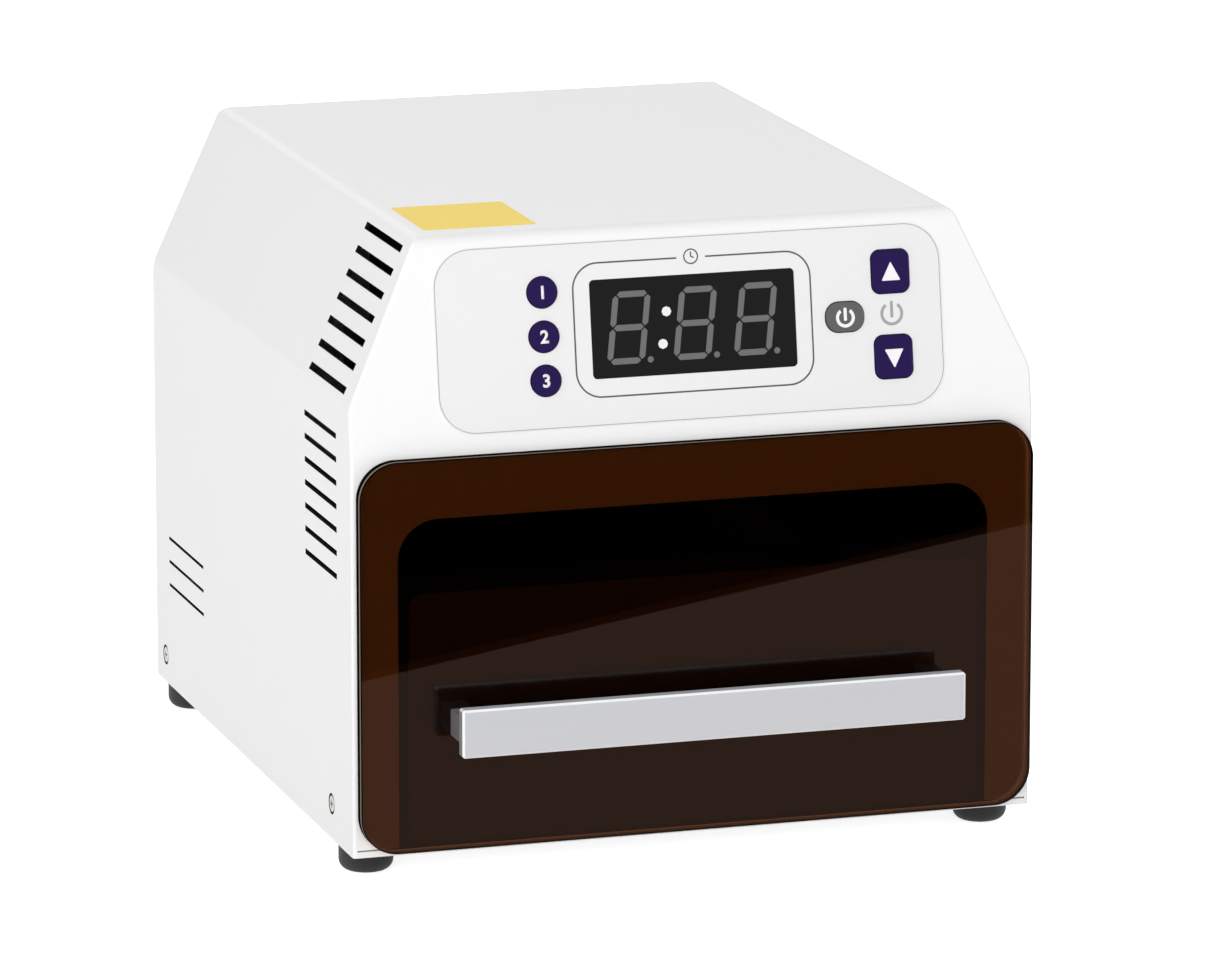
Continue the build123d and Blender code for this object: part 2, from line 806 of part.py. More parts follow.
def gather():
    """Every node by name."""
    nodes = {
        "outer_cover": outer_cover(),
        "base_tray": base_tray(),
        "rear_panel": rear_panel(),
        "control_overlay": control_overlay(),
        "digit_segments": digit_segments(),
        "colon_dots": colon_dots(),
        "control_board": control_board(),
        "board_posts": board_posts(),
        "key_switches": key_switches(),
        "drawer_panel": drawer_panel(),
        "drawer_tray": drawer_tray(),
        "tray_reflector": tray_reflector(),
        "handle_bar": handle_bar(),
        "handle_leg_left": handle_leg(-1),
        "handle_leg_right": handle_leg(1),
        "chamber_liner": chamber_liner(),
        "lamp_window": lamp_window(),
        "lamp_board": lamp_board(),
        "lamps": lamps(),
        "heat_sink": heat_sink(),
        "driver_board": driver_board(),
        "power_supply": power_supply(),
        "drawer_sensor": drawer_sensor(),
        "sensor_magnet": sensor_magnet(),
        "fan_frame": fan_frame(),
        "fan_rotor": fan_rotor(),
        "fan_guard": fan_guard(),
        "mains_inlet": mains_inlet(),
        "inlet_pins": inlet_pins(),
        "switch_housing": switch_housing(),
        "rocker": rocker(),
    }
    key_names = ("program_key_1", "program_key_2", "program_key_3", "up_key", "down_key", "power_key")
    for number, name in enumerate(key_names):
        nodes[name] = key(number)
    for number in range(digit_count):
        nodes[f"digit_module_{number + 1}"] = digit_module(number)
    for name, (x, y) in zip(("front_left", "front_right", "rear_left", "rear_right"), foot_places()):
        nodes[f"foot_{name}"] = rubber_foot(x, y)
    for name, member in slide_members().items():
        right, left = both_sides(member)
        nodes[f"slide_{name}_right"] = right
        nodes[f"slide_{name}_left"] = left
    return nodes


for node, shape in gather().items():
    pieces = shape if isinstance(shape, list) else [shape]
    solids = [solid for piece in pieces for solid in piece.solids()]
    result = solids[0] if len(solids) == 1 else Compound(children=solids)
    export_step(result, f"parts/{node}.step")
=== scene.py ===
# %% [markdown]
# # A dental lab light curing unit
# The unit is a white sheet-metal box with a leaning control panel. Under the panel a drawer with a
# brown acrylic front slides out of the curing chamber. The CAD frame already holds every piece at
# its real size, so this script only adds what the eye judges: paint, print, screws, polished
# edges and the light it all stands in. Lengths are metres, and a value times mm is a length in
# millimetres.

import json
from math import atan2, cos, pi, radians, sin

import bpy
from mathutils import Matrix, Vector

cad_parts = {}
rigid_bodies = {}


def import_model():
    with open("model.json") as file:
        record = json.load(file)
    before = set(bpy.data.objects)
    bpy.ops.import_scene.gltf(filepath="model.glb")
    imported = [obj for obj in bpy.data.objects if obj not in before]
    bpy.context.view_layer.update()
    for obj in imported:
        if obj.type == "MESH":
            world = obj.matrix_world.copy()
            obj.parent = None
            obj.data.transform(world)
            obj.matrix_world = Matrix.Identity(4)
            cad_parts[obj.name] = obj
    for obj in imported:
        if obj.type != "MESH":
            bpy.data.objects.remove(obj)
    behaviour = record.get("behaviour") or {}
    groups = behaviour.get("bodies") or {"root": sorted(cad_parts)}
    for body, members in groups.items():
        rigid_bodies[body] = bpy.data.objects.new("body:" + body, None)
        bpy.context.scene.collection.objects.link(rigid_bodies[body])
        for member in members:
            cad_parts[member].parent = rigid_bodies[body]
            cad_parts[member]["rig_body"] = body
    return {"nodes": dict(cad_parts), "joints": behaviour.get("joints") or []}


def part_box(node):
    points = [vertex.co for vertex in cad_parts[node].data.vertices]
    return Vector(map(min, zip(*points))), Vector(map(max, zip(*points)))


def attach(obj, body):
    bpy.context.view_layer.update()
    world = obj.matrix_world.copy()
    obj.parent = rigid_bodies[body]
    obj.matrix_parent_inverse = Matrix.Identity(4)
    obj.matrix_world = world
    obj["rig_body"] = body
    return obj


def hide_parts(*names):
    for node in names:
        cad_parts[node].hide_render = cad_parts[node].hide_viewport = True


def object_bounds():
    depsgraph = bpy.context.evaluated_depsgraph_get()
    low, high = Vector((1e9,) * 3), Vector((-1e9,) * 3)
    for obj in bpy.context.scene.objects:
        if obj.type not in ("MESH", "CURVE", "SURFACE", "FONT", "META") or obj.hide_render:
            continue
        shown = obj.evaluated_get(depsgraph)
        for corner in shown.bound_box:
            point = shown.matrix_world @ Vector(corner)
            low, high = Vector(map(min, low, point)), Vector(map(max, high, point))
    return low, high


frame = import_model()
cad_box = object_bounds()
nodes = frame["nodes"]
scene = bpy.context.scene
mm = 0.001
slot_of = {name: node.data.materials[0].name for name, node in nodes.items()}
for node in nodes.values():
    node.data.materials.clear()
for plain in list(bpy.data.materials):
    bpy.data.materials.remove(plain)
print("CAD nodes:", len(nodes))

# %% [markdown]
# ## Camera
# The photograph is taken from a little left of the front and slightly above. A long lens from far
# away keeps the box's edges nearly parallel. The camera comes first.

# %% Camera
camera_place = (-0.81837, -2.65229, 0.73541)
camera_lens = 242.5
look_down, look_aside = radians(12.785), radians(17.262)
bpy.ops.object.camera_add(location=camera_place, rotation=(pi / 2 - look_down, 0, -look_aside))
camera = bpy.context.object
camera.data.lens = camera_lens
camera.data.sensor_width = 36
scene.camera = camera
scene.view_settings.view_transform = "Standard"
print("camera lens:", camera.data.lens)

# %% [markdown]
# ## Working helpers
# Blender's mesh tools act on whatever is selected, so each step starts from a clean selection.
# Faces and edges are then picked in code by where they are or which way they face. When a piece is
# done, its place goes into its mesh, so its finish stays put when a joint moves the piece.


# %% Selecting
def only(piece):
    """Select this piece alone and make it the active one."""
    bpy.ops.object.select_all(action="DESELECT")
    piece.select_set(True)
    bpy.context.view_layer.objects.active = piece
    return piece


def settle(piece, place=None):
    """Put the piece at a place given as a matrix, then write its place into its mesh."""
    only(piece)
    if place is not None:
        piece.matrix_world = place @ piece.matrix_world
    bpy.ops.object.transform_apply(location=True, rotation=True, scale=True)
    return piece


def edit(piece, faces=None, edges=None):
    """Enter edit mode with only the faces or edges selected that pass the given test."""
    only(piece)
    mesh = piece.data
    bpy.ops.object.mode_set(mode="EDIT")
    bpy.ops.mesh.select_mode(type="FACE" if faces else "EDGE")
    bpy.ops.mesh.select_all(action="DESELECT")
    bpy.ops.object.mode_set(mode="OBJECT")
    for face in mesh.polygons if faces else ():
        face.select = faces(face)
    for edge in mesh.edges if edges else ():
        start, end = [mesh.vertices[index].co for index in edge.vertices]
        edge.select = edges(start, end)
    bpy.ops.object.mode_set(mode="EDIT")


def leave():
    """Leave edit mode."""
    bpy.ops.object.mode_set(mode="OBJECT")


def smooth(piece, angle=35):
    """Shade bends smooth, keep sharper edges crisp and big flat faces flat."""
    only(piece)
    bpy.ops.object.shade_smooth_by_angle(angle=radians(angle))
    apply_modifier(piece, "WEIGHTED_NORMAL", keep_sharp=True, weight=100)


def apply_modifier(piece, kind, **settings):
    """Add a modifier with the given settings and apply it."""
    only(piece)
    modifier = piece.modifiers.new(kind.lower(), kind)
    for key, value in settings.items():
        setattr(modifier, key, value)
    bpy.ops.object.modifier_apply(modifier=modifier.name)


print("helpers are ready")

# %% [markdown]
# ## Light
# The photograph is a bright studio shot in which every white face has nearly the same tone. An even
# grey sky does most of the work, and three big soft lamps, low in front, at the left and behind,
# give the bends and edges their faint modelling. The front lamp doesn't show in reflections, so the
# acrylic front and the chamber behind it stay dark. The level is plain: a colour comes out about as
# it is written. Rays that show a background find the sky white: those that see it straight,
# mirrored in a piece or through a clear plate.

# %% Sky
def background_rays(tree):
    """An output that is 1 for rays that see the background straight, mirrored or through."""
    rays = tree.nodes.new("ShaderNodeLightPath")
    seen = rays.outputs["Is Camera Ray"]
    for kind in ("Is Glossy Ray", "Is Transmission Ray"):
        either = tree.nodes.new("ShaderNodeMath")
        either.operation = "MAXIMUM"
        tree.links.new(seen, either.inputs[0])
        tree.links.new(rays.outputs[kind], either.inputs[1])
        seen = either.outputs[0]
    return seen


sky_level = 0.55
world = bpy.data.worlds.new("studio_sky")
scene.world = world
world.use_nodes = True
sky = world.node_tree
backdrop = sky.nodes.new("ShaderNodeBackground")
backdrop.inputs["Color"].default_value = (1, 1, 1, 1)
backdrop.inputs["Strength"].default_value = 1
light = sky.nodes["Background"]
light.inputs["Color"].default_value = (1, 1, 1, 1)
light.inputs["Strength"].default_value = sky_level
choice = sky.nodes.new("ShaderNodeMixShader")
sky.links.new(background_rays(sky), choice.inputs["Fac"])
sky.links.new(light.outputs["Background"], choice.inputs[1])
sky.links.new(backdrop.outputs["Background"], choice.inputs[2])
sky.links.new(choice.outputs["Shader"], sky.nodes["World Output"].inputs["Surface"])
print("sky level:", sky_level)


# %% Lamps
unit_middle = Vector((0, 0, 0.11))
lamp_distance, lamp_width, lamp_height = 3.0, 2.2, 1.2


def soft_lamp(name, towards, power):
    """A broad area lamp that looks at the unit from a direction."""
    place = unit_middle + Vector(towards).normalized() * lamp_distance
    bpy.ops.object.light_add(type="AREA", location=place)
    lamp = bpy.context.object
    lamp.name = name
    lamp.data.shape = "RECTANGLE"
    lamp.data.size, lamp.data.size_y = lamp_width, lamp_height
    lamp.data.energy = power
    lamp.rotation_euler = (unit_middle - place).to_track_quat("-Z", "Y").to_euler()
    return lamp


front_lamp = soft_lamp("front_lamp", (-0.34, -1, 0.22), 48)
front_lamp.visible_glossy = False
soft_lamp("left_lamp", (-0.85, -0.1, 0.5), 16)
soft_lamp("back_lamp", (0.2, 0.9, 0.5), 19)

# %% [markdown]
# ## Floor and reflection
# The object stands on a plain white floor that keeps its soft shadow. The floor glows for the same
# rays that find the sky white, which takes the background to white without putting more light on
# the object.
#
# Polished acrylic shows little colour of its own: what gives it away is the room mirrored in it.
# The front mirrors the table before it, warm and pale up to its edge and dark beyond. A flat card
# that only reflections can see, cut in two along that edge, stands for it.

# %% Floor
floor_size, floor_glow = 12, 0.75
bpy.ops.mesh.primitive_plane_add(size=floor_size, location=(0, 0, 0))
floor = bpy.context.object
floor.name = "floor"
paper = bpy.data.materials.new("white_paper")
paper.use_nodes = True
tree = paper.node_tree
surface = tree.nodes["Principled BSDF"]
surface.inputs["Base Color"].default_value = (0.86, 0.86, 0.86, 1)
surface.inputs["Roughness"].default_value = 0.9
surface.inputs["Specular IOR Level"].default_value = 0.1
glow = tree.nodes.new("ShaderNodeEmission")
level = tree.nodes.new("ShaderNodeMath")
level.operation = "MULTIPLY"
level.inputs[1].default_value = floor_glow
both = tree.nodes.new("ShaderNodeAddShader")
tree.links.new(background_rays(tree), level.inputs[0])
tree.links.new(level.outputs[0], glow.inputs["Strength"])
tree.links.new(surface.outputs["BSDF"], both.inputs[0])
tree.links.new(glow.outputs["Emission"], both.inputs[1])
tree.links.new(both.outputs["Shader"], tree.nodes["Material Output"].inputs["Surface"])
floor.data.materials.append(paper)
print("floor:", floor_size, "m")


# %% Reflection card
def glow_material(name, colour):
    """A plain glow, for a card that shows in reflections."""
    glow = bpy.data.materials.new(name)
    glow.use_nodes = True
    tree = glow.node_tree
    tree.nodes.remove(tree.nodes["Principled BSDF"])
    emission = tree.nodes.new("ShaderNodeEmission")
    emission.inputs["Color"].default_value = (*colour, 1)
    tree.links.new(emission.outputs["Emission"], tree.nodes["Material Output"].inputs["Surface"])
    return glow


edge_left, edge_right = Vector((-0.0456, -0.3965, 0)), Vector((0.280, -0.5667, 0))
across_edge = (edge_right - edge_left).cross(Vector((0, 0, 1))).normalized()
card_middle, card_size = (0.15, -0.66, 1 * mm), (1.2, 1.06, 1)
bpy.ops.mesh.primitive_plane_add(size=1, location=card_middle, scale=card_size)
card = bpy.context.object
card.name = "reflection_card"
card.scale = card_size
settle(card)
edit(card, faces=lambda face: True)
bpy.ops.mesh.bisect(plane_co=edge_left, plane_no=across_edge)
leave()
card.data.materials.append(glow_material("table_glow", (0.55, 0.37, 0.295)))
card.data.materials.append(glow_material("dark_room", (0.003, 0.003, 0.003)))
for face in card.data.polygons:
    face.material_index = int((face.center - edge_left).dot(across_edge) > 0)
for kind in ("camera", "diffuse", "transmission", "volume_scatter", "shadow"):
    setattr(card, f"visible_{kind}", False)
print("card faces:", [face.material_index for face in card.data.polygons])

# %% [markdown]
# ## Finishes
# No real surface has one flat colour. Powder coat has a faint orange peel, brushed metal fine
# scratches along one way, rubber a dull grain. One helper makes them all: a broad noise shifts the
# colour a little, a finer one changes the gloss, and the finest gives the relief.


# %% Finish helper
def tone(red, green, blue):
    """A colour in the 0 to 255 tones of a picture, as the linear values that a shader takes."""
    levels = [value / 255 for value in (red, green, blue)]
    linear = [v / 12.92 if v < 0.04045 else ((v + 0.055) / 1.055) ** 2.4 for v in levels]
    return (*linear, 1)


def finish(name, colour, roughness, metallic=0, grain=700, relief=0.02, mottle=0.04,
           stretch=(1, 1, 1), shine=0.5):
    """A finish whose colour, gloss and relief vary with the place on the piece. Relief is in mm."""
    material = bpy.data.materials.new(name)
    material.use_nodes = True
    tree = material.node_tree
    surface = tree.nodes["Principled BSDF"]
    surface.inputs["Metallic"].default_value = metallic
    surface.inputs["Specular IOR Level"].default_value = shine
    place = tree.nodes.new("ShaderNodeTexCoord")
    spread = tree.nodes.new("ShaderNodeMapping")
    spread.inputs["Scale"].default_value = stretch
    tree.links.new(place.outputs["Object"], spread.inputs["Vector"])
    broad = noise(tree, spread, grain / 25, 2)
    fine = noise(tree, spread, grain, 3)
    shade = tree.nodes.new("ShaderNodeMix")
    shade.data_type = "RGBA"
    shade.inputs["A"].default_value = [level * (1 - mottle) for level in colour[:3]] + [1]
    shade.inputs["B"].default_value = [min(level * (1 + mottle), 1) for level in colour[:3]] + [1]
    gloss = tree.nodes.new("ShaderNodeMapRange")
    gloss.inputs["To Min"].default_value = roughness * 0.85
    gloss.inputs["To Max"].default_value = min(roughness * 1.15, 1)
    bump = tree.nodes.new("ShaderNodeBump")
    bump.inputs["Strength"].default_value = 0.6
    bump.inputs["Distance"].default_value = relief * mm
    tree.links.new(broad.outputs["Fac"], shade.inputs["Factor"])
    tree.links.new(shade.outputs["Result"], surface.inputs["Base Color"])
    tree.links.new(fine.outputs["Fac"], gloss.inputs["Value"])
    tree.links.new(gloss.outputs["Result"], surface.inputs["Roughness"])
    tree.links.new(fine.outputs["Fac"], bump.inputs["Height"])
    tree.links.new(bump.outputs["Normal"], surface.inputs["Normal"])
    return material


def noise(tree, vector, scale, detail):
    """A noise texture on a mapped vector."""
    texture = tree.nodes.new("ShaderNodeTexNoise")
    texture.inputs["Scale"].default_value = scale
    texture.inputs["Detail"].default_value = detail
    tree.links.new(vector.outputs["Vector"], texture.inputs["Vector"])
    return texture


print("white in linear light:", tone(240, 240, 240)[0])

# %% Paint, plastic and rubber
white_paint = finish(
    "white_paint", tone(236, 236, 236), 0.36, grain=900, relief=0.006, mottle=0.006, shine=0.06
)
# Dark tone: bare steel, and painted shade in the cover's slots and screw seats.
bare_steel_and_shade = finish("bare_steel_and_shade", tone(22, 22, 23), 0.8, grain=900, relief=0.01, mottle=0.1, shine=0.1)
drawer_paint = finish("drawer_paint", tone(92, 86, 88), 0.5, relief=0.01)
overlay_film = finish(
    "overlay_print", tone(226, 226, 227), 0.34, grain=2500, relief=0.002, mottle=0.004, shine=0.3
)
black_plastic = finish("black_plastic", tone(26, 26, 28), 0.45, grain=2200, relief=0.02)
display_black = finish("display_black", tone(20, 20, 20), 0.25, relief=0.002, shine=0.1)
dim_segment = finish("dim_segment", tone(97, 97, 97), 0.4, relief=0.002, mottle=0.06)
lit_point = finish("lit_point", tone(228, 228, 228), 0.4, relief=0.002)
grey_key = finish("grey_key", tone(94, 94, 95), 0.4, grain=1500, relief=0.004, shine=0.1)
indigo_key = finish("indigo_key", tone(33, 18, 73), 0.4, grain=1500, relief=0.004, shine=0.1)
black_rubber = finish("black_rubber", tone(18, 18, 18), 0.62, grain=1600, relief=0.03, mottle=0.12)
circuit_board = finish("circuit_board", tone(24, 82, 44), 0.35, relief=0.004)
lamp_package = finish("lamp_package", tone(236, 228, 180), 0.35, relief=0.004)
white_ink = finish("white_ink", tone(234, 234, 236), 0.5, grain=2500, relief=0.002, mottle=0.01)
grey_ink = finish("grey_ink", tone(78, 78, 82), 0.5, grain=2500, relief=0.002, mottle=0.04)
pale_ink = finish("pale_ink", tone(158, 158, 160), 0.5, grain=2500, relief=0.002, mottle=0.04)
yellow_vinyl = finish(
    "yellow_vinyl", tone(246, 214, 74), 0.5, grain=1400, relief=0.004, mottle=0.02, shine=0.1
)
print("finishes so far:", len(bpy.data.materials))

# %% Metals
bright_steel = finish(
    "bright_steel", tone(196, 198, 200), 0.28, 1, relief=0.004, stretch=(1, 0.08, 1)
)
zinc_steel = finish(
    "zinc_steel", tone(188, 190, 193), 0.36, 1, grain=1200, relief=0.006, mottle=0.08
)
polished_sheet = finish("polished_sheet", tone(226, 228, 230), 0.12, 1, relief=0.002, mottle=0.02)
bare_aluminium = finish("bare_aluminium", tone(200, 202, 205), 0.38, 1, stretch=(1, 0.05, 1))
black_zinc = finish("black_zinc", tone(20, 20, 21), 0.5, 0.2, grain=900, relief=0.004)
screw_steel = finish(
    "screw_steel", tone(182, 177, 170), 0.34, 1, grain=1200, relief=0.004, mottle=0.08
)
brass_pin = finish("brass_pin", tone(206, 186, 120), 0.3, 1, relief=0.003)
brushed_along = (0.03, 1, 1)
anodised_aluminium = finish(
    "anodised_aluminium", tone(207, 211, 216), 0.5, 0.3, 1600, 0.004, 0.02, brushed_along
)
# Painted highlight for the handle bar's front edges; painted shade for its ends, back edges and
# legs.
bar_painted_highlight = finish(
    "bar_painted_highlight", tone(240, 242, 244), 0.4, 0.1, grain=1600, relief=0.002, mottle=0.01
)
bar_painted_shade = finish(
    "bar_painted_shade", tone(158, 158, 160), 0.5, 0.3, grain=1600, relief=0.006, mottle=0.04
)
leg_painted_shade = finish(
    "leg_painted_shade", tone(120, 120, 122), 0.6, 0.3, grain=1600, relief=0.006, mottle=0.04
)
print("finishes with the metals:", len(bpy.data.materials))


# %% [markdown]
# ## Acrylic
# The drawer's front is a clear sheet with a strong brown dye. Light passes it twice on its way to
# the white front behind and back, so the border looks deep red-brown and the dark chamber behind
# it almost black. A transparent shader with the dye's colour lets lamp light through as well, which
# a glass shader wouldn't without caustics. A Fresnel mix lays the room's reflection over it.


# %% Clear plates
def clear_sheet(name, dye, polish):
    """A see-through sheet: a dye that colours what passes, under a mirror-like surface."""
    material = bpy.data.materials.new(name)
    material.use_nodes = True
    tree = material.node_tree
    tree.nodes.remove(tree.nodes["Principled BSDF"])
    through = tree.nodes.new("ShaderNodeBsdfTransparent")
    through.inputs["Color"].default_value = (*dye, 1)
    mirror = tree.nodes.new("ShaderNodeBsdfGlossy")
    mirror.inputs["Roughness"].default_value = polish
    fresnel = tree.nodes.new("ShaderNodeFresnel")
    fresnel.inputs["IOR"].default_value = 1.49
    layers = tree.nodes.new("ShaderNodeMixShader")
    tree.links.new(fresnel.outputs["Fac"], layers.inputs["Fac"])
    tree.links.new(through.outputs["BSDF"], layers.inputs[1])
    tree.links.new(mirror.outputs["BSDF"], layers.inputs[2])
    tree.links.new(layers.outputs["Shader"], tree.nodes["Material Output"].inputs["Surface"])
    return material


brown_dye = (0.48, 0.335, 0.212)
brown_acrylic = clear_sheet("brown_acrylic", brown_dye, 0.01)
clear_plate = clear_sheet("clear_plate", (0.95, 0.97, 0.98), 0.05)
print("dye for one face:", brown_dye)


# %% Polished edge
def banded_edge(name, front, bands):
    """An edge coloured in bands from the front: each band is a depth and a colour."""
    material = finish(name, bands[0][1], 0.4, grain=500, relief=0.002, shine=0)
    tree = material.node_tree
    place = tree.nodes["Texture Coordinate"]
    parts = tree.nodes.new("ShaderNodeSeparateXYZ")
    depth = tree.nodes.new("ShaderNodeMapRange")
    depth.inputs["From Min"].default_value = front
    depth.inputs["From Max"].default_value = front + bands[-1][0]
    ramp = tree.nodes.new("ShaderNodeValToRGB")
    stops = ramp.color_ramp.elements
    while len(stops) < len(bands):
        stops.new(0.5)
    for stop, (band_depth, colour) in zip(stops, bands):
        stop.position = band_depth / bands[-1][0]
        stop.color = colour
    tree.links.new(place.outputs["Object"], parts.inputs["Vector"])
    tree.links.new(parts.outputs["Y"], depth.inputs["Value"])
    tree.links.new(depth.outputs["Result"], ramp.inputs["Fac"])
    tree.links.new(ramp.outputs["Color"], tree.nodes["Principled BSDF"].inputs["Base Color"])
    return material


print("banded edges can be made")

# %% [markdown]
# ## Finishes on the frame's own pieces
# The record names a material slot for every CAD node. Each slot's finish is made above, so a loop
# can hand them out.

# %% Dress the frame
finishes = {
    "white_paint": white_paint,
    "overlay_print": overlay_film,
    "dim_segment": dim_segment,
    "lit_point": lit_point,
    "display_black": display_black,
    "circuit_board": circuit_board,
    "bright_steel": bright_steel,
    "black_plastic": black_plastic,
    "brown_acrylic": brown_acrylic,
    "drawer_paint": drawer_paint,
    "polished_sheet": polished_sheet,
    "anodised_aluminium": anodised_aluminium,
    "clear_plate": clear_plate,
    "lamp_package": lamp_package,
    "bare_aluminium": bare_aluminium,
    "brass_pin": brass_pin,
    "grey_key": grey_key,
    "indigo_key": indigo_key,
    "black_rubber": black_rubber,
    "zinc_steel": zinc_steel,
}
for name, node in nodes.items():
    look = black_zinc if name.startswith("slide_") else finishes[slot_of[name]]
    node.data.materials.append(look)
    print(name, look.name)

# %% [markdown]
# ## Pieces that get a better shape
# CAD meshes are faceted and sharp-edged. Where that shows, a copy of the node is merged into one
# skin, its edges are rounded, and the copy is shown in the node's place. The real edges are sheet
# bends, moulding radii and polished corners, and it is on these that highlights sit.


# %% Copies and declarations
def dress(piece, body, slot_name):
    """Give the piece its finish and let it ride on a body."""
    piece.data.materials.clear()
    piece.data.materials.append(finishes[slot_name])
    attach(piece, body)
    return piece


def skin_of(node, name):
    """A copy of a CAD node as one merged skin, shown instead of the node."""
    piece = bpy.data.objects.new(name, nodes[node].data.copy())
    scene.collection.objects.link(piece)
    edit(piece, faces=lambda face: True)
    bpy.ops.mesh.remove_doubles(threshold=0.001 * mm)
    bpy.ops.mesh.dissolve_limited(angle_limit=radians(0.5))
    leave()
    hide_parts(node)
    return dress(piece, nodes[node]["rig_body"], slot_of[node])


def cut(piece, cutter):
    """Take the cutter's shape away from the piece."""
    apply_modifier(piece, "BOOLEAN", object=cutter, operation="DIFFERENCE", solver="EXACT")
    bpy.data.objects.remove(cutter)


print("slots in use:", len(finishes))

# %% [markdown]
# ## Housing cover
# The cover is one bent steel sheet. Its facets are merged, and the bends are shaded smooth while
# weighted normals keep the big flat faces flat. Near the lower edge of each side two countersunk
# screws hold it to the base tray, so their seats are cut into the sheet. The inner side, the
# laser-cut walls of the slots and the screws' seats get a dark tone, partly bare steel and partly
# painted shade: it keeps the inside and the slots black and draws a dark ring round each screw.
# A ray from each face tells them apart: an outer face never looks at another part of the cover.

# %% Cover
cover = skin_of("outer_cover", "cover_skin")
side_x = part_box("outer_cover")[1].x
screw_radius, screw_gap = 2.8 * mm, 0.9 * mm
seat_depth = 1.2 * mm
front_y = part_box("drawer_tray")[0].y + 0.5 * mm
tray_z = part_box("base_tray")[0].z
side_screws = [(front_y + 27 * mm, tray_z + 12.2 * mm), (front_y + 253.5 * mm, tray_z + 10 * mm)]
for side in (-1, 1):
    for y, z in side_screws:
        bpy.ops.mesh.primitive_cone_add(
            vertices=40,
            radius1=screw_radius - seat_depth,
            radius2=screw_radius + screw_gap,
            depth=seat_depth,
            location=(side * (side_x - seat_depth / 2 + 0.01 * mm), y, z),
            rotation=(0, side * pi / 2, 0),
        )
        cut(cover, bpy.context.object)
smooth(cover, 20)


def is_bare_or_shaded(face):
    """Whether a face gets the dark tone: bare inside, painted shade on a slot's cut edge or in a
    screw's seat.
    """
    start = face.center + face.normal * 0.01 * mm
    seats = [Vector((face.center.x, y, z)) for y, z in side_screws]
    near_seat = min((face.center - seat).length for seat in seats) < screw_radius + screw_gap
    below_skin = abs(face.center.x) < side_x - 0.02 * mm
    return cover.ray_cast(start, face.normal)[0] or near_seat and below_skin


# Inner faces, slot walls and screw seats take the dark tone, partly painted shade.
cover.data.materials.append(bare_steel_and_shade)
for face in cover.data.polygons:
    face.material_index = int(is_bare_or_shaded(face))
print("cover faces:", len(cover.data.polygons))

# %% [markdown]
# ## Base tray
# Under the front opening the tray's low lip fills the space between the cover's sides. It is pulled
# out to meet them and the front, and its top is lowered a little, which leaves a fine shadow line.

# %% Base tray
tray = skin_of("base_tray", "tray_skin")
lip_front, tray_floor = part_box("base_tray")[0].y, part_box("base_tray")[0].z
lip_height, lip_shift, lip_widening, nearby = 2.4 * mm, 0.35 * mm, 1.0024, 0.1 * mm
lip_top = tray_floor + lip_height
edit(tray, faces=lambda face: face.normal.z > 0.9 and abs(face.center.z - lip_top) < nearby)
bpy.ops.transform.translate(value=(0, 0, -lip_shift))
leave()
edit(tray, faces=lambda face: face.normal.y < -0.9 and face.center.y < lip_front + nearby)
bpy.ops.transform.resize(value=(lip_widening, 1, 1), center_override=(0, 0, tray_floor))
bpy.ops.transform.translate(value=(0, -lip_shift, 0))
leave()
smooth(tray, 20)
print("tray faces:", len(tray.data.polygons))

# %% [markdown]
# ## Screws
# A cross-head screw is turned from one blank: a short cylinder whose rim is rolled over and whose
# top is pressed with a cross. One flush and one domed head are modelled, and each place gets a copy
# with its own mesh.


# %% Screw heads
cross_reach, cross_width, cross_depth = 1.05, 0.22, 1.1


def screw_head(name, radius, height, dome):
    """A cross-head screw standing on the origin and facing up."""
    bpy.ops.mesh.primitive_cylinder_add(
        vertices=40, radius=radius, depth=height, location=(0, 0, height / 2)
    )
    head = bpy.context.object
    head.name = name
    settle(head)
    edit(head, edges=lambda a, b: min(a.z, b.z) > height * 0.9)
    bpy.ops.mesh.bevel(offset=dome, segments=5, affect="EDGES")
    leave()
    for turn in (0, pi / 2):
        bpy.ops.mesh.primitive_cube_add(
            size=1,
            location=(0, 0, height),
            rotation=(0, 0, turn),
            scale=(radius * cross_reach, radius * cross_width, height * cross_depth),
        )
        cut(head, bpy.context.object)
    smooth(head, 30)
    return head


def placed_copy(model, name, place, body, slot_name):
    """A copy of a finished model, with its own mesh, at a place given as a matrix."""
    piece = bpy.data.objects.new(name, model.data.copy())
    scene.collection.objects.link(piece)
    settle(piece, place)
    return dress(piece, body, slot_name)


def facing(point, direction):
    """The place of something that stands on a point and faces along a direction."""
    turn = Vector(direction).to_track_quat("Z", "Y").to_matrix().to_4x4()
    return Matrix.Translation(point) @ turn


flush_head = screw_head("flush_head", screw_radius, seat_depth, 0.2 * mm)
domed_head = screw_head("domed_head", 2.6 * mm, 1.7 * mm, 1.1 * mm)
print("screw models are ready")

# %% Screws in place
number = 0
for side in (-1, 1):
    for y, z in side_screws:
        number += 1
        place = facing((side * (side_x - seat_depth), y, z), (side, 0, 0))
        screw = placed_copy(flush_head, f"side_screw_{number}", place, "housing", "zinc_steel")
        screw.data.materials[0] = screw_steel

rear_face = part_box("rear_panel")[1].y
fan_low, fan_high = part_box("fan_frame")
fan_z = (fan_low.z + fan_high.z) / 2
lug_thickness, fan_hole = 1.6 * mm, 35.75 * mm
lug_face = rear_face + lug_thickness
for number, (x, up) in enumerate([(-1, -1), (1, -1), (-1, 1), (1, 1)], 1):
    place = facing((x * fan_hole, lug_face, fan_z + up * fan_hole), (0, 1, 0))
    placed_copy(domed_head, f"fan_screw_{number}", place, "housing", "zinc_steel")

inlet_low, inlet_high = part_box("mains_inlet")
inlet_x, inlet_z = (inlet_low.x + inlet_high.x) / 2, (inlet_low.z + inlet_high.z) / 2
inlet_hole = 20 * mm
for number, side in enumerate((-1, 1), 1):
    place = facing((inlet_x + side * inlet_hole, inlet_high.y, inlet_z), (0, 1, 0))
    placed_copy(domed_head, f"inlet_screw_{number}", place, "housing", "zinc_steel")

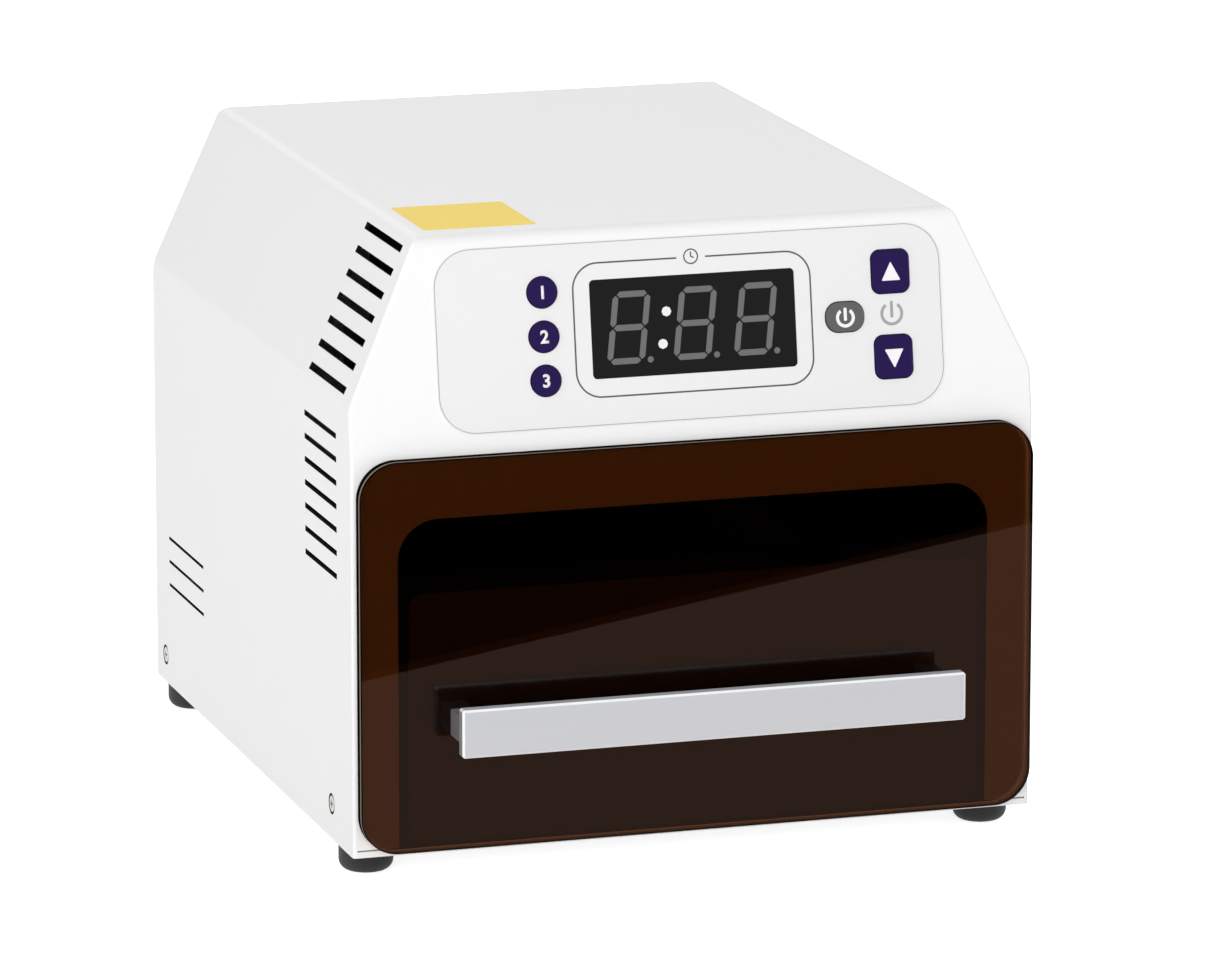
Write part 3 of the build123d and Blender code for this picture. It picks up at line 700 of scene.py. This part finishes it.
rear_screw_row, rear_screw_rise = (-100, -12, 12, 100), 9 * mm
for number, x in enumerate(rear_screw_row, 1):
    place = facing((x * mm, rear_face, tray_z + rear_screw_rise), (0, 1, 0))
    placed_copy(domed_head, f"rear_screw_{number}", place, "housing", "zinc_steel")

drawer_sheet = 1.2 * mm
plate_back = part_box("drawer_tray")[0].y + drawer_sheet
for side in ("left", "right"):
    low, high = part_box(f"handle_leg_{side}")
    place = facing(((low.x + high.x) / 2, plate_back, (low.z + high.z) / 2), (0, 1, 0))
    placed_copy(domed_head, f"handle_screw_{side}", place, "drawer", "zinc_steel")

corners = ("front_left", "front_right", "rear_left", "rear_right")
foot_hollow = 5 * mm
for corner in corners:
    low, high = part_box(f"foot_{corner}")
    place = facing(((low.x + high.x) / 2, (low.y + high.y) / 2, low.z + foot_hollow), (0, 0, -1))
    placed_copy(domed_head, f"foot_screw_{corner}", place, "housing", "zinc_steel")
bpy.data.objects.remove(flush_head)
bpy.data.objects.remove(domed_head)
print("screws are in place")

# %% [markdown]
# ## Drawer front
# The brown front is laser-cut from 5 mm acrylic sheet and its edges are polished, so it starts as a
# box of that size. It is a hair thinner, so that it doesn't share a face with the plate behind it.
# The four corners are bevelled round, and then every rim gets a small bevel. The edge faces carry
# painted light in bands from the front: a dark rim of painted shade, then a pale painted glow. On
# the upper and left sides, which face the light, the glow band is thin and painted shade lies
# behind it; on the lower and right sides a paler painted glow fills the back of the edge.

# %% Acrylic front
pane_low, pane_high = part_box("drawer_panel")
plate_gap, corner_radius, rim_bevel = 0.04 * mm, 13 * mm, 0.35 * mm
pane_high = pane_high - Vector((0, plate_gap, 0))
pane_middle, pane_size = (pane_low + pane_high) / 2, pane_high - pane_low
bpy.ops.mesh.primitive_cube_add(size=1, location=pane_middle, scale=pane_size)
pane = bpy.context.object
pane.name = "acrylic_front"
settle(pane)
edit(pane, edges=lambda a, b: abs(a.y - b.y) > 1 * mm)
bpy.ops.mesh.bevel(offset=corner_radius, segments=16, affect="EDGES")
leave()
edit(pane, edges=lambda a, b: abs(a.y - b.y) < 0.01 * mm)
bpy.ops.mesh.bevel(offset=rim_bevel, segments=3, affect="EDGES")
leave()
smooth(pane, 30)
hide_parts("drawer_panel")
dress(pane, "drawer", "brown_acrylic")
# Painted light on the pane's edges: rim is painted shade, the pale bands are a painted glow.
rim, edge_painted_glow, inner_painted_glow = tone(12, 7, 5), tone(128, 119, 111), tone(196, 164, 147)
lit_bands = [(0, rim), (0.35 * mm, rim), (0.5 * mm, edge_painted_glow), (1.6 * mm, edge_painted_glow), (1.9 * mm, rim)]
far_bands = [(0, rim), (2.6 * mm, rim), (2.8 * mm, inner_painted_glow)]
whole = pane_size.y
pane.data.materials.append(banded_edge("lit_edge", pane_low.y, lit_bands + [(whole, rim)]))
pane.data.materials.append(banded_edge("far_edge", pane_low.y, far_bands + [(whole, inner_painted_glow)]))
for face in pane.data.polygons:
    if abs(face.normal.y) < 0.97:
        face.material_index = 1 if face.normal.z > face.normal.x else 2
print("acrylic front faces:", len(pane.data.polygons))

# %% [markdown]
# ## Handle
# The bar is drawn aluminium, brushed along and anodised. Its front edges carry a painted highlight,
# almost white, and its ends and back edges a painted shade. Two legs in a darker tone of painted
# shade carry it, each with a short neck where it meets the bar, and a screw from inside the
# drawer's front plate holds each.

# %% Handle bar
bar = skin_of("handle_bar", "handle_skin")
for extra in (bar_painted_shade, bar_painted_highlight):
    bar.data.materials.append(extra)
bar_low, bar_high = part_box("handle_bar")
for face in bar.data.polygons:
    is_edge = max(abs(level) for level in face.normal) < 0.9
    in_front = face.center.y < (bar_low.y + bar_high.y) / 2 + 0.1 * mm
    # Front edges take the painted highlight; ends and back edges the painted shade.
    face.material_index = 2 if is_edge and in_front else int(is_edge or abs(face.normal.x) > 0.9)
smooth(bar, 30)
neck, neck_setback, leg_bevel = 0.6 * mm, 0.9 * mm, 0.3 * mm
for side in ("left", "right"):
    low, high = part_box(f"handle_leg_{side}")
    low = low + Vector((0, neck, 0))
    bpy.ops.mesh.primitive_cube_add(size=1, location=(low + high) / 2, scale=high - low)
    leg = bpy.context.object
    leg.name = f"leg_skin_{side}"
    settle(leg)
    edit(leg, faces=lambda face: face.normal.y < -0.9)
    bpy.ops.mesh.inset(thickness=neck_setback)
    bpy.ops.mesh.extrude_region_move(TRANSFORM_OT_translate={"value": (0, -neck, 0)})
    leave()
    edit(leg, edges=lambda a, b: abs(a.y - b.y) > 2 * neck)
    bpy.ops.mesh.bevel(offset=leg_bevel, segments=2, affect="EDGES")
    leave()
    smooth(leg, 30)
    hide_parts(f"handle_leg_{side}")
    dress(leg, "drawer", "anodised_aluminium")
    # The legs' darker tone is painted shade.
    leg.data.materials[0] = leg_painted_shade
print("handle bar faces:", len(bar.data.polygons))

# %% [markdown]
# ## Feet
# Each foot is a moulded rubber puck with a rounded lower edge and a hollow below, where its screw
# goes up into the tray. The rounding is drawn down from a shorter cylinder: at each step along a
# quarter circle the lower face drops and shrinks.

# %% Rubber feet
foot_rounding, foot_steps, foot_rim, top_bevel = 3.8 * mm, 8, 1.6 * mm, 0.5 * mm
for corner in corners:
    low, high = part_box(f"foot_{corner}")
    middle, size = (low + high) / 2, high - low
    radius, straight = size.x / 2, size.z - foot_rounding
    bpy.ops.mesh.primitive_cylinder_add(
        vertices=56,
        radius=radius,
        depth=straight,
        location=(middle.x, middle.y, high.z - straight / 2),
    )
    foot = bpy.context.object
    foot.name = f"rubber_foot_{corner}"
    settle(foot)
    edit(foot, edges=lambda a, b: min(a.z, b.z) > high.z - 0.01 * mm)
    bpy.ops.mesh.bevel(offset=top_bevel, segments=3, affect="EDGES")
    leave()
    edit(foot, faces=lambda face: face.normal.z < -0.99)
    reach, depth = radius, 0
    for step in range(1, foot_steps + 1):
        turn = pi / 2 * step / foot_steps
        next_reach = radius - foot_rounding * (1 - cos(turn))
        drop = foot_rounding * sin(turn) - depth
        bpy.ops.mesh.extrude_region_move(TRANSFORM_OT_translate={"value": (0, 0, -drop)})
        narrower = next_reach / reach
        bpy.ops.transform.resize(value=(narrower, narrower, 1), center_override=middle)
        reach, depth = next_reach, depth + drop
    bpy.ops.mesh.inset(thickness=foot_rim)
    bpy.ops.mesh.extrude_region_move(TRANSFORM_OT_translate={"value": (0, 0, foot_hollow)})
    leave()
    smooth(foot, 30)
    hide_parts(f"foot_{corner}")
    dress(foot, "housing", "black_rubber")
print("feet are rounded")

# %% [markdown]
# ## Control panel
# The panel leans back, so its prints and keys are placed in the panel's own directions: across, up
# along the sheet, and out of it. The way that a key is pressed gives the lean, and the printed
# sheet's box gives the middle.

# %% The panel's own frame
press = next(joint for joint in frame["joints"] if joint["name"] == "up_key_press")
outward = -Vector(press["axis"]).normalized()
upward = Vector((0, outward.z, -outward.y))
film_low, film_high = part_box("control_overlay")
film_thickness = 0.4 * mm
film_middle = (film_low + film_high) / 2 + outward * film_thickness / 2
panel_axes = Matrix((Vector((1, 0, 0)), upward, outward)).transposed().to_4x4()
on_panel = Matrix.Translation(film_middle) @ panel_axes
from_panel = on_panel.inverted()
film_width = film_high.x - film_low.x
film_height = ((film_high - film_low) - Vector((film_width, 0, 0))).dot(upward)
print("panel film:", round(film_width / mm, 1), "by", round(film_height / mm, 1), "mm")


# %% Ink shapes
ink = 0.05 * mm


def printed(piece, name, across, up, out, body, slot_name):
    """Give a flat shape its thickness of ink and lay it on the panel."""
    piece.name = name
    settle(piece)
    edit(piece, faces=lambda face: True)
    bpy.ops.mesh.extrude_region_move(TRANSFORM_OT_translate={"value": (0, 0, ink)})
    bpy.ops.mesh.select_all(action="SELECT")
    bpy.ops.mesh.normals_make_consistent(inside=False)
    leave()
    settle(piece, on_panel @ Matrix.Translation((across, up, out)))
    return dress(piece, body, slot_name)


def rounded_line(width, height, radius, stroke):
    """A thin closed line round a rectangle with rounded corners."""
    bpy.ops.mesh.primitive_plane_add(size=1)
    line = bpy.context.object
    line.scale = (width, height, 1)
    settle(line)
    edit(line, faces=lambda face: True)
    bpy.ops.mesh.bevel(offset=radius, segments=12, affect="VERTICES")
    bpy.ops.mesh.select_all(action="SELECT")
    bpy.ops.mesh.inset(thickness=stroke)
    leave()
    edit(line, faces=lambda face: len(face.vertices) > 4)
    bpy.ops.mesh.delete(type="FACE")
    leave()
    return line


def open_gap(line, low, high, above):
    """Take away the stretch of a line that lies above a height and between two places across."""
    for across in (low, high):
        edit(line, faces=lambda face: True)
        bpy.ops.mesh.bisect(plane_co=(across, 0, 0), plane_no=(1, 0, 0))
        leave()
    edit(line, faces=lambda face: low < face.center.x < high and face.center.y > above)
    bpy.ops.mesh.delete(type="FACE")
    leave()


def ring(radius, stroke, gap):
    """A flat ring with a gap at its top, given as a half angle."""
    bpy.ops.mesh.primitive_circle_add(vertices=72, radius=radius + stroke / 2, fill_type="NGON")
    line = bpy.context.object
    edit(line, faces=lambda face: True)
    bpy.ops.mesh.inset(thickness=stroke)
    leave()
    in_gap = lambda centre: abs(atan2(centre.x, centre.y)) < gap
    edit(line, faces=lambda face: len(face.vertices) > 4 or in_gap(face.center))
    bpy.ops.mesh.delete(type="FACE")
    leave()
    return line


def stroke_bar(width, height, across, up, turn=0):
    """A short straight stroke with softened ends."""
    bpy.ops.mesh.primitive_plane_add(size=1, location=(across, up, 0), rotation=(0, 0, turn))
    bar = bpy.context.object
    bar.scale = (width, height, 1)
    settle(bar)
    edit(bar, faces=lambda face: True)
    bpy.ops.mesh.bevel(offset=width * 0.4, segments=4, affect="VERTICES")
    leave()
    return bar


def joined(first, *others):
    """Several meshes joined into the first."""
    only(first)
    for other in others:
        other.select_set(True)
    bpy.ops.object.join()
    return first


def power_sign(radius, stroke):
    """The common stand-by sign: a ring open at the top with an upright stroke."""
    bar = stroke_bar(stroke, radius * 1.6, 0, radius * 0.4)
    return joined(ring(radius, stroke, radians(36)), bar)


def clock_sign(radius, stroke):
    """A round clock face with its two hands."""
    long_hand = stroke_bar(stroke, radius * 0.75, 0, radius * 0.3)
    short_hand = stroke_bar(stroke, radius * 0.55, radius * 0.2, -radius * 0.08, radians(62))
    return joined(ring(radius, stroke, 0), long_hand, short_hand)


print("ink thickness:", ink)

# %% [markdown]
# ## Print on the panel
# The film carries a thin rounded line round the display, a small clock sign in that line's gap and
# a grey stand-by sign between the arrow keys. Film print is a few hundredths of a millimetre thick,
# and as thin solids the prints keep their sharp outline however near the camera comes.

# %% Panel print
def print_piece(piece, name, across, up, material):
    """Lay a print on the film in an ink of its own."""
    printed(piece, name, across, up, 0, "housing", "overlay_print")
    piece.data.materials[0] = material


frame_across, frame_up = 0.9 * mm, 1.2 * mm
frame_width, frame_height = 83.9 * mm, 45.4 * mm
line_gap = 5 * mm
line = rounded_line(frame_width, frame_height, 9 * mm, 0.55 * mm)
open_gap(line, -line_gap, line_gap, 0)
print_piece(line, "display_line", frame_across, frame_up, grey_ink)
line_top = frame_up + frame_height / 2
clock = clock_sign(2.4 * mm, 0.45 * mm)
print_piece(clock, "clock_print", frame_across, line_top, grey_ink)
# A pale grey line just inside the film's edge is painted shade of that edge.
border_setback = 0.6 * mm
border_size = (film_width - border_setback, film_height - border_setback)
border = rounded_line(*border_size, 12.7 * mm, 0.25 * mm)
print_piece(border, "film_edge_painted_shade", 0, 0, pale_ink)
power_place = from_panel @ ((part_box("power_key")[0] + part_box("power_key")[1]) / 2)
arrow_place = from_panel @ ((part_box("up_key")[0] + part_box("up_key")[1]) / 2)
sign_place = (arrow_place.x, power_place.y + 0.4 * mm)
print_piece(power_sign(3.55 * mm, 1.05 * mm), "standby_print", *sign_place, pale_ink)
print("prints are on the film")

# %% [markdown]
# ## Keys
# Three round keys choose a programme, two arrow keys set the time, and the grey one starts it. Each
# is a moulded cap whose rim is rounded, with a white sign printed on top: a number, an arrow or the
# stand-by sign. The sign rides with its key, so it goes in when the key is pressed.


# %% Key caps and their signs
cap_bevel, cap_rim, dish_slope, dish = 0.35 * mm, 0.25 * mm, 0.2 * mm, 0.12 * mm


def key_cap(node):
    """A key with a rounded rim and a dished top, and the middle of its top in the panel's frame."""
    cap = skin_of(node, node.replace("key", "cap"))
    top = max((from_panel @ vertex.co).z for vertex in cap.data.vertices)
    height = lambda point: (from_panel @ point).z
    edit(cap, edges=lambda a, b: min(height(a), height(b)) > top - 0.01 * mm)
    bpy.ops.mesh.bevel(offset=cap_bevel, segments=4, affect="EDGES")
    leave()
    is_face = lambda face: height(face.center) > top - 0.01 * mm and face.normal.dot(outward) > 0.99
    edit(cap, faces=is_face)
    bpy.ops.mesh.inset(thickness=cap_rim)
    bpy.ops.mesh.inset(thickness=dish_slope, depth=-dish)
    leave()
    smooth(cap, 40)
    low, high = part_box(node)
    middle = from_panel @ ((low + high) / 2)
    return middle.x, middle.y, top - dish


def number_sign(text, size):
    """A plain number as a flat mesh, centred on the origin."""
    bpy.ops.object.text_add()
    sign = bpy.context.object
    sign.data.body = text
    sign.data.size = size
    sign.data.offset = size * 0.03
    sign.data.align_x = "CENTER"
    sign.data.align_y = "CENTER"
    only(sign)
    bpy.ops.object.convert(target="MESH")
    return bpy.context.object


def arrow_sign(turn):
    """A triangle with softened corners that points up, or down when it is turned."""
    bpy.ops.mesh.primitive_circle_add(vertices=3, radius=3.85 * mm, fill_type="NGON")
    sign = bpy.context.object
    sign.scale = (1, 1.1, 1)
    sign.location.y = -0.7 * mm
    settle(sign)
    settle(sign, Matrix.Rotation(turn, 4, "Z"))
    edit(sign, faces=lambda face: True)
    bpy.ops.mesh.bevel(offset=0.4 * mm, segments=4, affect="VERTICES")
    leave()
    return sign


signs = {
    "program_key_1": lambda: number_sign("1", 6 * mm),
    "program_key_2": lambda: number_sign("2", 6 * mm),
    "program_key_3": lambda: number_sign("3", 6 * mm),
    "up_key": lambda: arrow_sign(0),
    "down_key": lambda: arrow_sign(pi),
    "power_key": lambda: power_sign(2.8 * mm, 1.1 * mm),
}
for node, make_sign in signs.items():
    across, up, top = key_cap(node)
    sign = printed(make_sign(), node.replace("key", "sign"), across, up, top, node, "lit_point")
    sign.data.materials[0] = white_ink
print("keys carry their signs:", len(signs))

# %% [markdown]
# ## Sticker
# A plain yellow vinyl sticker lies on the front left of the roof. It is a thin box with its corners
# bevelled round, because a flat sheet in the roof's own plane would show in patches.

# %% Sticker
roof_z = cad_box[1][2]
sticker_size, vinyl = (39 * mm, 41.5 * mm), 0.1 * mm
sticker_place = (-68.5 * mm, front_y + 42.8 * mm, roof_z + vinyl / 2)
bpy.ops.mesh.primitive_cube_add(size=1, location=sticker_place, scale=(*sticker_size, vinyl))
sticker = bpy.context.object
sticker.name = "blank_sticker"
settle(sticker)
edit(sticker, edges=lambda a, b: abs(a.z - b.z) > vinyl / 2)
bpy.ops.mesh.bevel(offset=1.2 * mm, segments=6, affect="EDGES")
leave()
smooth(sticker)
dress(sticker, "housing", "overlay_print")
sticker.data.materials[0] = yellow_vinyl
print("sticker:", sticker_size)
